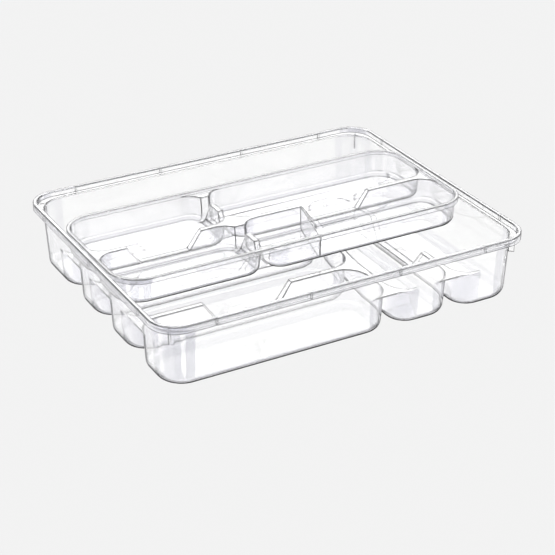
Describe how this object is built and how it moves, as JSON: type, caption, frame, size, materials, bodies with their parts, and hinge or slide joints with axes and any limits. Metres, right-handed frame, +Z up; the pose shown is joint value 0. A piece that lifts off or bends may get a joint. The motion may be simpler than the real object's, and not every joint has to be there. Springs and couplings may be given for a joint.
{
  "type": "cutlery tray",
  "caption": "Clear plastic drawer tray for cutlery: a deep tray with divided pockets and a shallow divided tray that slides on a ledge inside its rim",
  "frame": {"origin": "middle of the underside of the base tray, on the drawer floor", "axes": "X along the long side, Y from front to back, Z up"},
  "size_m": [0.4, 0.322, 0.07],
  "materials": {
    "clear_base": "clear injection-moulded polystyrene, polished",
    "clear_slider": "clear injection-moulded polystyrene, polished"
  },
  "bodies": {
    "base": {"base_tray": "clear_base"},
    "slider": {"sliding_tray": "clear_slider"}
  },
  "joints": [
    {"name": "tray_slide", "type": "slide", "parent": "base", "child": "slider", "axis": [0, 1, 0], "range_m": [-0.09, 0.0635]}
  ]
}
